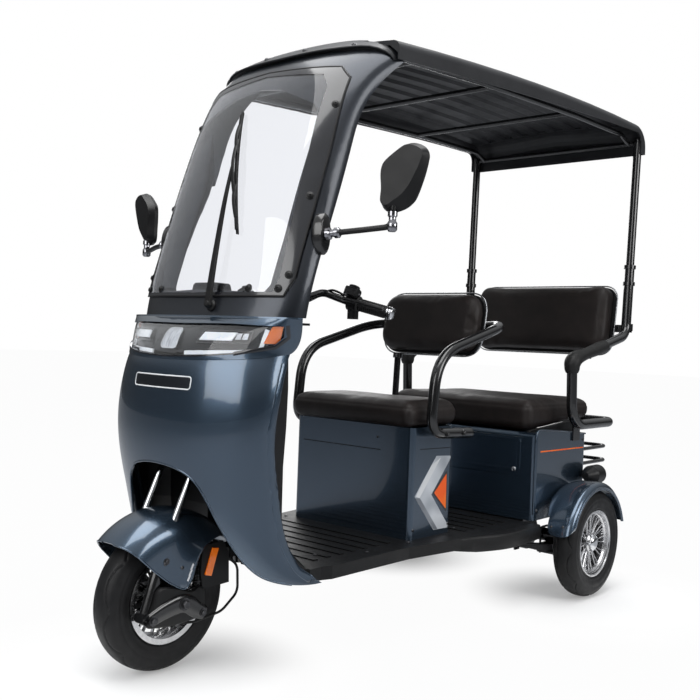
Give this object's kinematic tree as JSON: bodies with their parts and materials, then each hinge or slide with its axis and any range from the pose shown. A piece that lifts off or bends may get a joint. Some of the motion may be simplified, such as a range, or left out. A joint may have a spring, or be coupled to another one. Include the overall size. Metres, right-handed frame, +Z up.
{
  "type": "electric passenger tricycle with canopy",
  "caption": "Three-wheeled electric passenger tricycle: steered front fork, windshield cowl, driver seat over a battery box, rear bench over a luggage box, moulded canopy.",
  "frame": {"origin": "middle of the bounding box, on the ground under the wheels", "axes": "+Z up, +Y towards the rear, +X towards the vehicle's left side"},
  "size_m": [1.1678, 2.195, 1.7979],
  "materials": {
    "paint": "slate blue metallic paint",
    "cowl": "graphite gloss moulding",
    "canopy": "black moulded sheet",
    "frame_paint": "black powder coat",
    "black_plastic": "black moulded plastic",
    "clear": "clear",
    "lamp_dark": "dark lamp interior",
    "amber": "amber lens",
    "seat": "brown-black leatherette",
    "tyre": "rubber",
    "grip": "rubber",
    "alloy": "cast alloy",
    "steel": "bare steel",
    "cell": "battery case"
  },
  "bodies": {
    "chassis": {"backrest_post": "frame_paint", "battery_pack": "cell", "chassis_frame": "frame_paint", "floor_board": "black_plastic", "front_armrests": "frame_paint", "front_backrest": "seat", "front_fairing": "paint", "front_seat_box": "paint", "lamp_bezel": "paint", "lamp_core": "lamp_dark", "lamp_lens": "clear", "leaf_springs": "steel", "leg_shield": "black_plastic", "mirrors": "cowl", "rear_arm_pads": "grip", "rear_axle": "frame_paint", "rear_backrest": "seat", "rear_fenders": "paint", "rear_hoop": "frame_paint", "rear_rack": "frame_paint", "rear_seat_box": "paint", "roof_panel": "canopy", "roof_rails": "frame_paint", "tail_lamps": "black_plastic", "turn_signals": "amber", "windshield": "clear", "windshield_frame": "cowl", "wiper": "black_plastic"},
    "front_wheel": {"front_tyre": "tyre", "front_rim": "alloy"},
    "rear_wheel_left": {"rear_tyre_left": "tyre", "rear_rim_left": "alloy"},
    "rear_wheel_right": {"rear_tyre_right": "tyre", "rear_rim_right": "alloy"},
    "steering": {"front_fork": "frame_paint", "fork_links": "frame_paint", "front_brake": "frame_paint", "splash_guards": "black_plastic", "fork_reflectors": "amber", "front_fender": "paint", "handlebar": "frame_paint", "grips": "grip", "hand_controls": "black_plastic", "brake_cable": "black_plastic"},
    "front_seat_lid": {"front_cushion": "seat"},
    "rear_seat_lid": {"rear_cushion": "seat"},
    "box_flap": {"rear_box_flap": "paint"}
  },
  "joints": [
    {"name": "steering_turn", "type": "hinge", "parent": "chassis", "child": "steering", "pos_m": [0, -0.9185, 0.318], "axis": [0, 0.4067, 0.9135], "range_deg": [-35, 35]},
    {"name": "front_wheel_spin", "type": "hinge", "parent": "steering", "child": "front_wheel", "pos_m": [0, -0.9075, 0.19], "axis": [1, 0, 0], "continuous": true},
    {"name": "rear_left_spin", "type": "hinge", "parent": "chassis", "child": "rear_wheel_left", "pos_m": [0.4446, 0.6325, 0.19], "axis": [1, 0, 0], "continuous": true},
    {"name": "rear_right_spin", "type": "hinge", "parent": "chassis", "child": "rear_wheel_right", "pos_m": [-0.4446, 0.6325, 0.19], "axis": [1, 0, 0], "continuous": true},
    {"name": "front_seat_hinge", "type": "hinge", "parent": "chassis", "child": "front_seat_lid", "pos_m": [0, -0.1825, 0.616], "axis": [1, 0, 0], "range_deg": [0, 65]},
    {"name": "rear_seat_hinge", "type": "hinge", "parent": "chassis", "child": "rear_seat_lid", "pos_m": [0, 0.9165, 0.618], "axis": [-1, 0, 0], "range_deg": [0, 70]},
    {"name": "flap_hinge", "type": "hinge", "parent": "chassis", "child": "box_flap", "pos_m": [0, 0.4135, 0.429], "axis": [1, 0, 0], "range_deg": [0, 90]}
  ]
}
